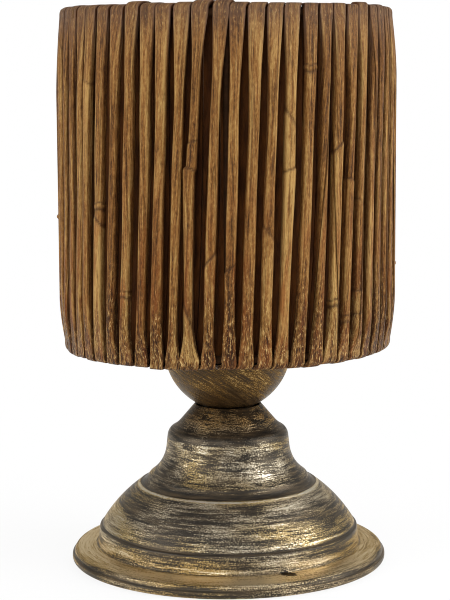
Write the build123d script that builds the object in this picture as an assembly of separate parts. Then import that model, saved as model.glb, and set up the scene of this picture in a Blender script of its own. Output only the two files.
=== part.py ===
"""Candle lamp: a spun metal base, a candle bowl bolted to it, a tealight, and a shade wound
from cane strip over two wire rings, which rests on the bowl's rim and lifts off.

Millimetres, +Z up. The origin is on the lamp's axis, on the surface that it stands on.
"""
import os
from math import cos, degrees, hypot, pi, radians, sin, sqrt

from build123d import *

# Base, one spun sheet that is open underneath: radii and heights of its outer line
sheet = 1.0
foot_radius = 62.2
foot_round = 1.1
foot_hem = 5.0
lip_height = 2.4
lip_groove_depth = 1.0
lip_groove_rise = 0.7
lip_cove = 0.5
flange_edge_drop = 1.5
flange_edge_rise = 1.8
flange_slope_rise = 1.1
flange_width = 7.2
flange_cove = 0.7
wall_height = 6.4
wall_draft = 0.6
groove_depth = 1.4
groove_rise = 0.5
groove_lip = 0.4
dome_bulge = 1.05
step_radius = 35.9
step_height = 29.5
step_round = 0.7
step_ledge = 0.8
step_cove = 0.3
bell_edge_radius = 31.3
bell_edge_height = 33.4
bell_bulge = 1.35
waist_radius = 24.5
waist_rise = 4.6
shoulder_radius = 24.0
shoulder_rise = 3.3
shoulder_round = 0.35
brow_radius = 22.5
brow_rise = 2.8
brow_cove = 0.25
collar_foot_radius = 18.9
collar_rise = 6.8
neck_radius = 13.05
neck_height = 61.5

# Candle bowl, a spun hemisphere with a short upright rim
bowl_radius = 25.0
bowl_wall = 1.0
bowl_flat_radius = 8.0
bowl_rim_height = 3.6

# Bolt that clamps the bowl to the neck
bolt_diameter = 6.0
bolt_head_flats = 10.0
bolt_head_height = 4.0
bolt_tail = 3.0
bolt_play = 0.2
hex_chamfer = 0.6
washer_diameter = 12.0
washer_thickness = 1.2
clamp_disc_drop = 1.2
clamp_disc_thickness = 2.0
spring_washer_diameter = 11.8
spring_washer_thickness = 1.6
spring_washer_split = 1.0
nut_height = 5.0

# Shade frame of round wire
ring_radius = 60.5
ring_spacing = 123.4
ring_wire = 3.0
frame_wire = 2.4
arm_count = 3
arm_overhang = 1.5
arm_end_chamfer = 0.4
first_arm_angle = 60.0

# Cane strip, wound up the outside, over the top ring, down the inside and under the bottom ring
turns_per_sector = 20
turns_per_strip = 4
lean_turns = 0.65
fold_turns = 0.5
rolled_width = 3.8
rolled_thickness = 3.4
flat_thickness = 1.6
roll_taper = 26.0
fold_spans = 5
strip_flat_share = 0.8
strip_edge_share = 0.5
strip_crown_share = 0.54

# Tealight
cup_radius = 18.6
cup_rim_radius = 19.0
cup_height = 15.5
cup_wall = 0.4
cup_corner = 1.0
wax_height = 12.4
tab_radius = 6.0
tab_thickness = 0.4
tab_collar_radius = 1.5
tab_collar_height = 3.0
wick_radius = 0.8
wick_height = 19.4

# Clearances
seat_gap = 0.05
rest_gap = 0.25
wrap_gap = 0.15
carrier_play = 0.5
cast_gap = 0.05
turn_gap = 0.8
arm_side_gap = 1.2
strip_joint = 0.5

# Places that follow from the sizes above
collar_foot_height = neck_height - collar_rise
brow_height = collar_foot_height - brow_rise
shoulder_height = brow_height - shoulder_rise
waist_height = shoulder_height - waist_rise
collar_slope = (collar_foot_radius - neck_radius) / collar_rise
collar_wall = sheet * hypot(1, collar_slope)
neck_bore = neck_radius - collar_wall
bowl_centre = neck_height + sqrt(bowl_radius**2 - neck_bore**2) + seat_gap
bowl_rim = bowl_centre + bowl_rim_height
bowl_bottom = bowl_centre - sqrt(bowl_radius**2 - bowl_flat_radius**2)
bowl_floor = bowl_bottom + bowl_wall
bowl_inside = bowl_radius - bowl_wall
arm_height = bowl_rim + rest_gap + frame_wire / 2
bottom_ring_height = arm_height
top_ring_height = bottom_ring_height + ring_spacing
carrier_radius = bowl_radius + carrier_play + frame_wire / 2
carrier_height = arm_height - frame_wire - seat_gap
fold_radius = (ring_wire / 2 + wrap_gap) / cos(pi / (2 * fold_spans))
shade_inside = ring_radius - fold_radius - flat_thickness
arm_gap_angle = degrees((frame_wire + 2 * arm_side_gap - turn_gap) / shade_inside)
inner_pitch = (360 / arm_count - arm_gap_angle) / turns_per_sector
outer_pitch = 360 / arm_count / turns_per_sector
inner_width = radians(inner_pitch) * shade_inside - turn_gap
outer_width = radians(outer_pitch) * (ring_radius + fold_radius) - turn_gap
clamp_disc_top = bowl_bottom - clamp_disc_drop
clamp_disc_bottom = clamp_disc_top - clamp_disc_thickness
nut_top = clamp_disc_bottom - spring_washer_thickness - seat_gap
bolt_seat = bowl_floor + washer_thickness + seat_gap
cup_bottom = bowl_centre - cup_corner - sqrt(
    (bowl_inside - rest_gap - cup_corner) ** 2 - (cup_radius - cup_corner) ** 2
)


def turned(profile):
    """Solid of revolution about the lamp's axis, from a face drawn as (radius, height)."""
    return revolve(Plane.XZ * profile, Axis.Z)


def plain_rod(radius, bottom, top):
    """Plain round rod on the lamp's axis between two heights."""
    return Pos(0, 0, bottom) * Cylinder(
        radius, top - bottom, align=(Align.CENTER, Align.CENTER, Align.MIN)
    )


def direction(angle):
    """Outward and sideways unit vectors at an angle counted from the front (-Y) towards +X."""
    turn = radians(angle)
    return Vector(sin(turn), -cos(turn), 0), Vector(cos(turn), sin(turn), 0)


def pedestal_base():
    """Spun bell: the outer line is drawn from the foot's hem up to the neck, given the
    thickness of the sheet on its inner side, turned, and trimmed level at the neck."""
    lip_top = (foot_radius, lip_height)
    lip_groove = (foot_radius - lip_groove_depth, lip_height + lip_groove_rise)
    flange_outer = (lip_groove[0] - flange_edge_drop, lip_groove[1] + flange_edge_rise)
    flange_inner = (flange_outer[0] - flange_width, flange_outer[1] + flange_slope_rise)
    wall_foot = (flange_inner[0] - flange_cove, flange_inner[1] + flange_cove)
    wall_top = (wall_foot[0] - wall_draft, wall_foot[1] + wall_height)
    groove = (wall_top[0] - groove_depth, wall_top[1] + groove_rise)
    dome_foot = (groove[0] + groove_lip, groove[1] + groove_lip)
    step_outer = (step_radius, step_height)
    step_inner = (step_radius - step_round, step_height + step_round)
    cove_foot = (step_inner[0] - step_ledge, step_inner[1])
    bell_edge = (bell_edge_radius, bell_edge_height)
    waist = (waist_radius, waist_height)
    shoulder = (shoulder_radius, shoulder_height)
    brow = (brow_radius, brow_height)
    collar_foot = (collar_foot_radius, collar_foot_height)
    past_neck = (neck_radius - sheet * collar_slope, neck_height + sheet)
    hem_inner = (foot_radius - foot_round - foot_hem, 0)
    foot_inner = (foot_radius - foot_round, 0)
    foot_outer = (foot_radius, foot_round)

    line = Wire([
        Line(hem_inner, foot_inner),
        RadiusArc(foot_inner, foot_outer, -foot_round),
        Line(foot_outer, lip_top),
        Line(lip_top, lip_groove),
        SagittaArc(lip_groove, flange_outer, -lip_cove),
        Line(flange_outer, flange_inner),
        Line(flange_inner, wall_foot),
        Line(wall_foot, wall_top),
        Line(wall_top, groove),
        Line(groove, dome_foot),
        SagittaArc(dome_foot, step_outer, -dome_bulge),
        Line(step_outer, step_inner),
        Line(step_inner, cove_foot),
        SagittaArc(cove_foot, bell_edge, step_cove),
        SagittaArc(bell_edge, waist, bell_bulge),
        Line(waist, shoulder),
        SagittaArc(shoulder, brow, -shoulder_round),
        SagittaArc(brow, collar_foot, brow_cove),
        Line(collar_foot, past_neck),
    ])
    wall = Face(line.offset_2d(sheet, side=Side.LEFT, closed=True))
    above_neck = plain_rod(foot_radius, neck_height, neck_height + foot_radius)
    return turned(wall) - above_neck


def candle_bowl():
    """Spun bowl with a flat bottom, an upright rim with a rounded edge and a bolt hole."""
    hole = bolt_diameter / 2 + bolt_play
    centre = (0, bowl_centre)
    inner_flat = sqrt(bowl_inside**2 - (bowl_centre - bowl_floor) ** 2)
    section = make_face([
        Line((hole, bowl_floor), (hole, bowl_bottom)),
        Line((hole, bowl_bottom), (bowl_flat_radius, bowl_bottom)),
        arc_about(centre, (bowl_flat_radius, bowl_bottom), (bowl_radius, bowl_centre)),
        Line((bowl_radius, bowl_centre), (bowl_radius, bowl_rim - bowl_wall / 2)),
        arc_about(
            (bowl_radius - bowl_wall / 2, bowl_rim - bowl_wall / 2),
            (bowl_radius, bowl_rim - bowl_wall / 2),
            (bowl_radius - bowl_wall / 2, bowl_rim),
        ),
        arc_about(
            (bowl_radius - bowl_wall / 2, bowl_rim - bowl_wall / 2),
            (bowl_radius - bowl_wall / 2, bowl_rim),
            (bowl_inside, bowl_rim - bowl_wall / 2),
        ),
        Line((bowl_inside, bowl_rim - bowl_wall / 2), (bowl_inside, bowl_centre)),
        arc_about(centre, (bowl_inside, bowl_centre), (inner_flat, bowl_floor)),
        Line((inner_flat, bowl_floor), (hole, bowl_floor)),
    ])
    return turned(section)


def arc_about(centre, start, end):
    """Arc of under half a circle round a centre: its middle lies on the bisector."""
    radius = hypot(start[0] - centre[0], start[1] - centre[1])
    across = ((start[0] + end[0]) / 2 - centre[0], (start[1] + end[1]) / 2 - centre[1])
    stretch = radius / hypot(*across)
    middle = (centre[0] + across[0] * stretch, centre[1] + across[1] * stretch)
    return ThreePointArc(start, middle, end)


def washer(outer_diameter, bottom, thickness):
    """Flat ring round the bolt."""
    ring = plain_rod(outer_diameter / 2, bottom, bottom + thickness)
    return ring - plain_rod(bolt_diameter / 2 + bolt_play, bottom, bottom + thickness)


def hexagon(bottom, height):
    """Six-sided prism with turned corners, as on a bolt's head or a nut."""
    corner = bolt_head_flats / 2 / cos(radians(30))
    prism = Pos(0, 0, bottom) * extrude(RegularPolygon(corner, 6), height)
    turned_corners = chamfer(plain_rod(corner, bottom, bottom + height).edges(), hex_chamfer)
    return prism & turned_corners


def tie_bolt():
    """Hexagon bolt, head inside the bowl and thread down through the neck."""
    shank = plain_rod(bolt_diameter / 2, nut_top - nut_height - bolt_tail, bolt_seat)
    shank = chamfer(shank.edges().sort_by(Axis.Z)[0], hex_chamfer)
    return shank + hexagon(bolt_seat, bolt_head_height)


def clamp_disc():
    """Disc whose bevelled edge bears on the inside of the collar."""
    hole = bolt_diameter / 2 + bolt_play

    def edge(height):
        return neck_bore + (neck_height - height) * collar_slope - seat_gap

    section = make_face(Polyline(
        (hole, clamp_disc_bottom),
        (edge(clamp_disc_bottom), clamp_disc_bottom),
        (edge(clamp_disc_top), clamp_disc_top),
        (hole, clamp_disc_top),
        close=True,
    ))
    return turned(section)


def spring_washer():
    """Ring with a split through one side."""
    ring = washer(spring_washer_diameter, nut_top, spring_washer_thickness)
    split = Pos(spring_washer_diameter / 2, 0, nut_top + spring_washer_thickness / 2) * Box(
        spring_washer_diameter, spring_washer_split, 2 * spring_washer_thickness
    )
    return ring - split


def tie_nut():
    """Hexagon nut under the spring washer."""
    bottom = nut_top - nut_height
    hole = plain_rod(bolt_diameter / 2 + seat_gap, bottom, nut_top)
    return Pos(0, 0, -seat_gap) * (hexagon(bottom, nut_height) - hole)


def wire_ring(radius, height, wire):
    """Closed ring of round wire, level, on the lamp's axis."""
    return Pos(0, 0, height) * Torus(radius, wire / 2)


def arm_angle(number):
    """Angle of a carrier arm. The uprights stand half-way between the arms."""
    return first_arm_angle + number * 360 / arm_count


def upright(number):
    """Straight wire between the two layers of strip, coped on to both rings."""
    outward, _ = direction(arm_angle(number + 0.5))
    post = plain_rod(frame_wire / 2, bottom_ring_height, top_ring_height)
    post = Pos(*(outward * ring_radius)) * post
    return post - shade_bottom_ring - shade_top_ring


def carrier_arm(number):
    """Wire from the bottom ring, where it is coped, to just inside the rim of the bowl."""
    inner_end = bowl_inside - arm_overhang
    wire = plain_rod(frame_wire / 2, 0, ring_radius - inner_end)
    wire = chamfer(wire.edges().sort_by(Axis.Z)[0], arm_end_chamfer)
    outward, _ = direction(arm_angle(number))
    start = outward * inner_end + Vector(0, 0, arm_height)
    return Plane(origin=start, z_dir=outward) * wire - shade_bottom_ring


def inner_foot(turn):
    """Angle at which a turn starts, inside the bottom ring. Each sector between two arms holds
    equal steps, and the step across an arm is wider by the arm gap."""
    sector, place = divmod(turn, turns_per_sector)
    first = (arm_gap_angle + inner_pitch) / 2
    return first_arm_angle + sector * 360 / arm_count + first + place * inner_pitch


def outer_foot(turn):
    """Angle at which a turn rises outside the bottom ring, in equal steps all the way round."""
    return first_arm_angle + (turn + 0.5 + fold_turns) * outer_pitch


def strip_outline(angle, facing, height, size):
    """Six corners of the strip's section, flat against the wire and crowned on its back.
    angle goes round the lamp, and facing is the way the strip's back faces: 0 outwards,
    90 up, 180 inwards, 270 down."""
    width, thickness = size
    outward, sideways = direction(angle)
    back = outward * cos(radians(facing)) + Vector(0, 0, sin(radians(facing)))
    foot = outward * ring_radius + Vector(0, 0, height) + back * fold_radius
    right = [(strip_flat_share / 2, 0), (1 / 2, strip_edge_share), (strip_crown_share / 2, 1)]
    left = [(-across, depth) for across, depth in reversed(right)]
    return [
        foot + sideways * (across * width) + back * (depth * thickness)
        for across, depth in right + left
    ]


def turn_outlines(turn):
    """Sections of one turn in order: flat under the bottom ring, rolled up the outside, flat
    over the top ring. The flat leg inside is the straight stretch to the next turn. Each fold
    steps sideways by about half a turn's pitch, so that leg runs behind the gap outside, and
    spreads from the width that fits inside to the one that fits outside."""
    rolled = (rolled_width, rolled_thickness)
    foot = outer_foot(turn)
    head = foot + lean_turns * outer_pitch
    shares = [span / fold_spans for span in range(fold_spans + 1)]
    taper = roll_taper / ring_spacing

    def flat_section(angle, facing, height):
        outside = (1 + cos(radians(facing))) / 2
        width = inner_width + (outer_width - inner_width) * outside
        return strip_outline(angle, facing, height, (width, flat_thickness))

    def fold(start, end, facing, height):
        return [
            flat_section(start + (end - start) * share, facing + 180 * share, height)
            for share in shares
        ]

    def rolled_section(share):
        height = bottom_ring_height + ring_spacing * share
        return strip_outline(foot + (head - foot) * share, 0, height, rolled)

    under = fold(inner_foot(turn), foot, 180, bottom_ring_height)
    over = fold(head, head + fold_turns * outer_pitch, 0, top_ring_height)
    return under + [rolled_section(taper), rolled_section(1 - taper)] + over


def cane_strip(first, turns):
    """One strip of several turns: a ruled loft through its sections, butted on to the next
    strip inside the bottom ring."""
    sections = []
    for turn in range(first, first + turns):
        sections += turn_outlines(turn)
    end_height = bottom_ring_height + strip_joint
    sections.append(
        strip_outline(inner_foot(first + turns), 180, end_height, (inner_width, flat_thickness))
    )
    wires = [Wire.make_polygon(outline, close=True) for outline in sections]
    return Solid.make_loft(wires, ruled=True)


def least_turn_gap():
    """Smallest distance between corners of neighbouring turns, over one sector."""
    gaps = []
    for turn in range(turns_per_sector):
        for one, other in zip(turn_outlines(turn), turn_outlines(turn + 1)):
            gaps += [(a - b).length for a in one for b in other]
    return min(gaps)


def tealight_cup():
    """Thin drawn cup with a rounded bottom corner and a narrow rim."""
    top = cup_bottom + cup_height
    inside = cup_radius - cup_wall
    corner = (cup_radius - cup_corner, cup_bottom + cup_corner)
    inner_corner = cup_corner - cup_wall
    section = make_face([
        Line((0, cup_bottom + cup_wall), (0, cup_bottom)),
        Line((0, cup_bottom), (corner[0], cup_bottom)),
        arc_about(corner, (corner[0], cup_bottom), (cup_radius, corner[1])),
        Line((cup_radius, corner[1]), (cup_radius, top - cup_wall)),
        Line((cup_radius, top - cup_wall), (cup_rim_radius, top - cup_wall)),
        Line((cup_rim_radius, top - cup_wall), (cup_rim_radius, top)),
        Line((cup_rim_radius, top), (inside, top)),
        Line((inside, top), (inside, corner[1])),
        arc_about(corner, (inside, corner[1]), (corner[0], corner[1] - inner_corner)),
        Line((corner[0], corner[1] - inner_corner), (0, cup_bottom + cup_wall)),
    ])
    return turned(section)


def wick_tab(spare=0.0):
    """Sheet disc with a pinched collar for the wick; spare enlarges it for the wax's cast."""
    floor = cup_bottom + cup_wall + cast_gap
    disc = plain_rod(tab_radius + spare, floor - spare, floor + tab_thickness + spare)
    collar_top = floor + tab_thickness + tab_collar_height
    return disc + plain_rod(tab_collar_radius + spare, floor - spare, collar_top + spare)


def wick(spare=0.0):
    """Cord from the disc of the tab up past the wax."""
    foot = cup_bottom + cup_wall + cast_gap + tab_thickness
    return plain_rod(wick_radius + spare, foot, cup_bottom + wick_height)


def tealight_wax():
    """Poured wax, cast round the tab and the wick, with a rounded lower edge."""
    floor = cup_bottom + cup_wall + cast_gap
    radius = cup_radius - cup_wall - cast_gap
    block = plain_rod(radius, floor, floor + wax_height)
    block = fillet(block.edges().sort_by(Axis.Z)[0], cup_corner - cup_wall)
    return block - wick_tab(cast_gap) - wick(cast_gap)


shade_bottom_ring = wire_ring(ring_radius, bottom_ring_height, ring_wire)
shade_top_ring = wire_ring(ring_radius, top_ring_height, ring_wire)

nodes = {
    "pedestal_base": pedestal_base(),
    "candle_bowl": candle_bowl(),
    "bowl_washer": washer(washer_diameter, bowl_floor, washer_thickness),
    "tie_bolt": tie_bolt(),
    "clamp_disc": clamp_disc(),
    "spring_washer": spring_washer(),
    "tie_nut": tie_nut(),
    "shade_bottom_ring": shade_bottom_ring,
    "shade_top_ring": shade_top_ring,
    "carrier_ring": wire_ring(carrier_radius, carrier_height, frame_wire),
    "tealight_cup": tealight_cup(),
    "tealight_wax": tealight_wax(),
    "wick_tab": wick_tab() - wick(cast_gap),
    "wick": wick(),
}
for arm in range(arm_count):
    nodes[f"shade_upright_{arm + 1}"] = upright(arm)
    nodes[f"carrier_arm_{arm + 1}"] = carrier_arm(arm)
strip_count = 0
for sector in range(arm_count):
    for place in range(0, turns_per_sector, turns_per_strip):
        strip_count += 1
        turns = min(turns_per_strip, turns_per_sector - place)
        strip = cane_strip(sector * turns_per_sector + place, turns)
        nodes[f"cane_strip_{strip_count:02d}"] = strip

os.makedirs("parts", exist_ok=True)
for name, shape in nodes.items():
    export_step(shape, f"parts/{name}.step")

print(f"{len(nodes)} nodes, {strip_count} cane strips, pitch {outer_pitch:.2f} degrees")
print(f"flat strip {inner_width:.2f} mm wide inside and {outer_width:.2f} mm outside")
print(f"least gap between turns {least_turn_gap():.2f} mm")
print(f"bowl centre {bowl_centre:.2f}, rim {bowl_rim:.2f}, tealight bottom {cup_bottom:.2f}")
print(f"rings at {bottom_ring_height:.2f} and {top_ring_height:.2f}")
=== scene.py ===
# %% [markdown]
# # A candle lamp with a wound cane shade
# The lamp comes apart into three: a spun metal stand with a bowl on top, a tealight in the bowl,
# and a drum shade that hangs on the bowl's rim. The shade is rolled leaf, wound up the outside of
# two wire rings and down the inside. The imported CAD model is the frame: each piece made here goes
# where its CAD node is, in the same metres and about the same origin, so nothing has to be fitted.

# %% Load the frame
from math import radians

import bpy
import numpy as np
from mathutils import Matrix, Vector


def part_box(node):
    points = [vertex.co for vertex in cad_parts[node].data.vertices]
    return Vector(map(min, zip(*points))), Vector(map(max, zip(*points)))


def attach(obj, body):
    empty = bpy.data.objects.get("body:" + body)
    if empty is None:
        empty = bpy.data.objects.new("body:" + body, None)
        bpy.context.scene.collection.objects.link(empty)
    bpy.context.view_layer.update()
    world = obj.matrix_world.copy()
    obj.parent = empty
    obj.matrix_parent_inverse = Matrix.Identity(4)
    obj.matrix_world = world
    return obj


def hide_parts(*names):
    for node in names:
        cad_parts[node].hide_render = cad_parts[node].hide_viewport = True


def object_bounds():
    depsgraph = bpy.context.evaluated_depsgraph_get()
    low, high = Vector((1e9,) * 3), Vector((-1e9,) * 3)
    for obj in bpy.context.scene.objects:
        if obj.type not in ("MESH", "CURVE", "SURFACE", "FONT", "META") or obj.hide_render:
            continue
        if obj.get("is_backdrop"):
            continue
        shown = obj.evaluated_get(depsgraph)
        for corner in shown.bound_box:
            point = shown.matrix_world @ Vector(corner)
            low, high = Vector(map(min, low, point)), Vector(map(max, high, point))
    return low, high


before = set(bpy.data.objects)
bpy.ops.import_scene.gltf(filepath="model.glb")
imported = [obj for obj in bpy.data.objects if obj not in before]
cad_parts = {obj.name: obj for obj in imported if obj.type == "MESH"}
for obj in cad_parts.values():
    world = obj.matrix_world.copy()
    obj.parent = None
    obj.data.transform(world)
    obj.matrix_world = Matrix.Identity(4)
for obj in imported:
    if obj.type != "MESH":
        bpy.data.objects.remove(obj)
cad_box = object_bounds()
MM = 0.001
print("CAD box in mm:", [[round(value / MM, 2) for value in corner] for corner in cad_box])

# %% [markdown]
# ## Grids of points
# Most pieces of this lamp are one profile carried along or round something: a spun sheet is a
# line turned about the axis, and a strip is a small closed section carried along a path. Blender's
# Spin tool and bevelled curves make such shapes too, but here each point also has to carry values
# for the finish. So the points are worked out as grids, rows by columns, and a few helpers turn any
# grid into a mesh. The columns always wrap round. Rows wrap too on a spun shell, whose line runs
# up the outside and back down inside.

# %% Faces of a grid
def grid_faces(rows, columns, wrap_rows):
    """Quads that join each point to the next in its row and in its column. The number of a point
    is its row times the count of columns, plus its column."""
    first_rows = np.arange(rows if wrap_rows else rows - 1)
    row, column = np.meshgrid(first_rows, np.arange(columns), indexing="ij")
    next_row = (row + 1) % rows
    next_column = (column + 1) % columns
    corners = [
        row * columns + column,
        row * columns + next_column,
        next_row * columns + next_column,
        next_row * columns + column,
    ]
    return np.stack(corners, axis=-1).reshape(-1, 4)


def cap_faces(first_point, columns):
    """Quads straight across a ring of points, each from two neighbours to the two opposite."""
    near = first_point + np.arange(columns // 2 - 1)
    far = first_point + columns - 1 - np.arange(columns // 2 - 1)
    return np.stack([near, near + 1, far - 1, far], axis=-1)


print("a tube of 3 rings of 8 points has", len(grid_faces(3, 8, False)), "side faces,")
print("and each end is closed by", len(cap_faces(0, 8)))

# %% From a grid to a mesh
def make_piece(name, points, wrap_rows, material):
    """Mesh object from points of shape (rows, columns, 3) in metres. Open rows get end caps."""
    rows, columns = points.shape[:2]
    faces = [grid_faces(rows, columns, wrap_rows)]
    if not wrap_rows:
        faces.append(cap_faces(0, columns)[:, ::-1])
        faces.append(cap_faces((rows - 1) * columns, columns))
    faces = np.concatenate(faces).astype(np.int32)
    mesh = bpy.data.meshes.new(name)
    mesh.vertices.add(rows * columns)
    mesh.vertices.foreach_set("co", points.astype(np.float32).ravel())
    mesh.loops.add(faces.size)
    mesh.loops.foreach_set("vertex_index", faces.ravel())
    mesh.polygons.add(len(faces))
    mesh.polygons.foreach_set("loop_start", np.arange(len(faces), dtype=np.int32) * 4)
    mesh.polygons.foreach_set("use_smooth", np.ones(len(faces), dtype=bool))
    mesh.update(calc_edges=True)
    mesh.materials.append(material)
    piece = bpy.data.objects.new(name, mesh)
    bpy.context.scene.collection.objects.link(piece)
    return piece


print("CAD nodes to dress:", len(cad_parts))

# %% [markdown]
# ## A few words for shader nodes
# A finish here is a small tree of nodes. It could be wired by hand in the shader editor, but a
# script can be read and changed as text. Written out in full each node takes five lines, so these
# helpers add one node each and hand back the socket that comes out of it.

# %% Put nodes into a finish
def put(tree, kind, inputs, **options):
    """Adds a node. An input is a plain value or the socket of another node."""
    node = tree.nodes.new(kind)
    for option, value in options.items():
        setattr(node, option, value)
    for socket, value in inputs.items():
        if isinstance(value, bpy.types.NodeSocket):
            tree.links.new(value, node.inputs[socket])
        else:
            node.inputs[socket].default_value = value
    return node


def new_finish(name):
    """Material with a lone Principled shader: gives the material, its tree and the shader."""
    material = bpy.data.materials.new(name)
    material.use_nodes = True
    return material, material.node_tree, material.node_tree.nodes["Principled BSDF"]


def object_place(tree):
    """Where the shaded point is, in the object's own metres."""
    return put(tree, "ShaderNodeTexCoord", {}).outputs["Object"]


def attribute(tree, name):
    """Node that reads a value which the mesh carries at each of its points."""
    return put(tree, "ShaderNodeAttribute", {}, attribute_name=name)


def colour(red, green, blue):
    """Opaque colour from three shares of light, each from 0 to 1."""
    return (red, green, blue, 1.0)


print("an opaque grey is", colour(0.5, 0.5, 0.5))

# %% Arithmetic between nodes
def calc(tree, operation, *values):
    """One step of arithmetic on sockets or plain numbers."""
    return put(tree, "ShaderNodeMath", dict(enumerate(values)), operation=operation).outputs[0]


def vector_calc(tree, operation, *values):
    """One step of arithmetic on vectors: gives the outputs Vector and Value."""
    inputs = dict(enumerate(values))
    return put(tree, "ShaderNodeVectorMath", inputs, operation=operation).outputs


def added(tree, *shares):
    """Sum of sockets, each times its weight."""
    total = 0.0
    for socket, weight in shares:
        total = calc(tree, "MULTIPLY_ADD", socket, weight, total)
    return total


def largest(tree, first, *others):
    """The largest of several sockets."""
    for other in others:
        first = calc(tree, "MAXIMUM", first, other)
    return first


def remap(tree, value, low, high, new_low=0.0, new_high=1.0):
    """Straight line from low..high to new_low..new_high, held at both ends."""
    values = {"Value": value, "From Min": low, "From Max": high}
    values["To Min"] = new_low
    values["To Max"] = new_high
    return put(tree, "ShaderNodeMapRange", values).outputs["Result"]


operations = bpy.types.ShaderNodeMath.bl_rna.properties["operation"].enum_items
print("a Math node knows", len(operations), "operations")

# %% Patterns and blends
def stretch(tree, vector, factors):
    """Multiplies each part of a vector: a large factor makes a pattern fine that way."""
    return vector_calc(tree, "MULTIPLY", vector, factors)["Vector"]


def noise(tree, vector, detail, roughness, distortion=0.0):
    """Cloudy pattern about one half: detail finer layers, each roughness times the one before."""
    values = {"Vector": vector, "Scale": 1.0, "Detail": detail, "Roughness": roughness}
    values["Distortion"] = distortion
    return put(tree, "ShaderNodeTexNoise", values).outputs["Fac"]


def tint(tree, share, first, second, kind="MIX"):
    """Blends two colours, or multiplies them where kind is MULTIPLY."""
    values = {0: share, 6: first, 7: second}
    options = {"data_type": "RGBA", "blend_type": kind, "clamp_factor": True}
    return put(tree, "ShaderNodeMix", values, **options).outputs[2]


def bump(tree, height, distance, strength):
    """Tips the surface as if height, from 0 to 1, raised it by up to distance in metres."""
    values = {"Height": height, "Distance": distance, "Strength": strength}
    return put(tree, "ShaderNodeBump", values).outputs["Normal"]


blends = bpy.types.ShaderNodeMix.bl_rna.properties["blend_type"].enum_items
print("a Mix node knows", len(blends), "ways to blend")

# %% [markdown]
# ## Dry-brushed metal
# The stand was sprayed charcoal, and gold was dragged over it with an almost dry brush while it
# turned, so the gold lies in short streaks round the axis, thick on edges and bare in grooves.
# An image could hold those streaks, but noise can draw them: it is stretched round the axis by
# feeding it the direction from the axis (two numbers that barely change along a streak) and the
# distance along the spun line (which changes fast). How much gold a stretch has is a value that
# each row of the mesh carries, called gilding.

# %% Colours of the stand and the bowl
CHARCOAL = colour(0.020, 0.018, 0.016)
WORN_CHARCOAL = colour(0.085, 0.062, 0.038)
GOLD = colour(0.47, 0.335, 0.130)
SILVER = colour(0.40, 0.340, 0.240)
PALE_GOLD = colour(0.79, 0.73, 0.59)
BOWL_BROWN = colour(0.040, 0.026, 0.012)
BOWL_GOLD = colour(0.215, 0.146, 0.054)
BOWL_SILVER = colour(0.215, 0.155, 0.070)
BOWL_PALE = colour(0.60, 0.52, 0.31)
METAL_TINT = colour(1.0, 0.84, 0.62)

# From the shoulder up, under the bowl and the shade, the metal is painted browner and darker:
# painted shade and painted brown reflection. Its gold is warmer from the ledge down to the foot
OVERHEAD_SHADE = colour(0.80, 0.62, 0.42)
OVERHEAD_SHADE_FROM, OVERHEAD_SHADE_TO = 50.0 * MM, 57.0 * MM
WARMED = colour(1.0, 0.92, 0.78)
WARMED_FROM, WARMED_TO = 13.0 * MM, 6.0 * MM
print("gold is", round(GOLD[0] / CHARCOAL[0], 1), "times as bright as charcoal in red")

# %% Streaks and a chip
CHIP_PLACE = (22.1 * MM, -48.9 * MM, 5.9 * MM)
CHIP_SIZE = (4.2 * MM, 2.3 * MM, 4.0 * MM)


def streak_noise(tree, around, line, round_factor, line_factor, detail, roughness):
    """Noise drawn out round the axis. It is read at the direction from the axis times one factor,
    raised by the distance along the spun line times the other."""
    rise = calc(tree, "MULTIPLY", line, line_factor)
    lift = put(tree, "ShaderNodeCombineXYZ", {"Z": rise}).outputs["Vector"]
    ring = stretch(tree, around, (round_factor, round_factor, 0.0))
    return noise(tree, vector_calc(tree, "ADD", ring, lift)["Vector"], detail, roughness)


def chip_share(tree, place, grit):
    """1 in the chip on the flange and 0 off it: the distance from its middle, counted in its
    sizes along each axis, with some grit added so that the edge is ragged."""
    from_chip = vector_calc(tree, "SUBTRACT", place, CHIP_PLACE)["Vector"]
    from_chip = stretch(tree, from_chip, tuple(1.0 / size for size in CHIP_SIZE))
    reach = vector_calc(tree, "LENGTH", from_chip)["Value"]
    return remap(tree, calc(tree, "ADD", reach, grit), 1.35, 1.20)


print("the chip reaches about", round(CHIP_SIZE[0] / MM, 1), "mm to either side")

# %% Marks of the brush
GRIT_FACTORS = (1700.0, 1700.0, 2300.0)


def brush_marks(tree, place, slant):
    """The brush's noises by name, from broad patches to hairs and grit. The line that they are
    drawn along is tipped: slant times the direction's x is added to it."""
    around = vector_calc(tree, "NORMALIZE", stretch(tree, place, (1.0, 1.0, 0.0)))["Vector"]
    side = put(tree, "ShaderNodeSeparateXYZ", {"Vector": around}).outputs["X"]
    line = added(tree, (attribute(tree, "line").outputs["Fac"], 1.0), (side, slant))
    return {
        "patches": streak_noise(tree, around, line, 1.5, 0.12, 2.0, 0.5),
        "strokes": streak_noise(tree, around, line, 2.4, 0.75, 3.0, 0.6),
        "hairs": streak_noise(tree, around, line, 5.0, 2.4, 2.0, 0.65),
        "thin": streak_noise(tree, around, line, 1.2, 0.05, 2.0, 0.5),
        "grit": noise(tree, stretch(tree, place, GRIT_FACTORS), 1.0, 0.5),
    }


def gold_level(tree, mark, gilding):
    """How high the gold stands: the sum of the noises and the gilding, each times its weight."""
    level = added(tree, (mark["patches"], 0.70), (mark["strokes"], 0.55))
    level = added(tree, (level, 1.0), (mark["hairs"], 0.62), (mark["grit"], 0.60))
    return added(tree, (level, 1.0), (gilding, 0.30))


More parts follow.
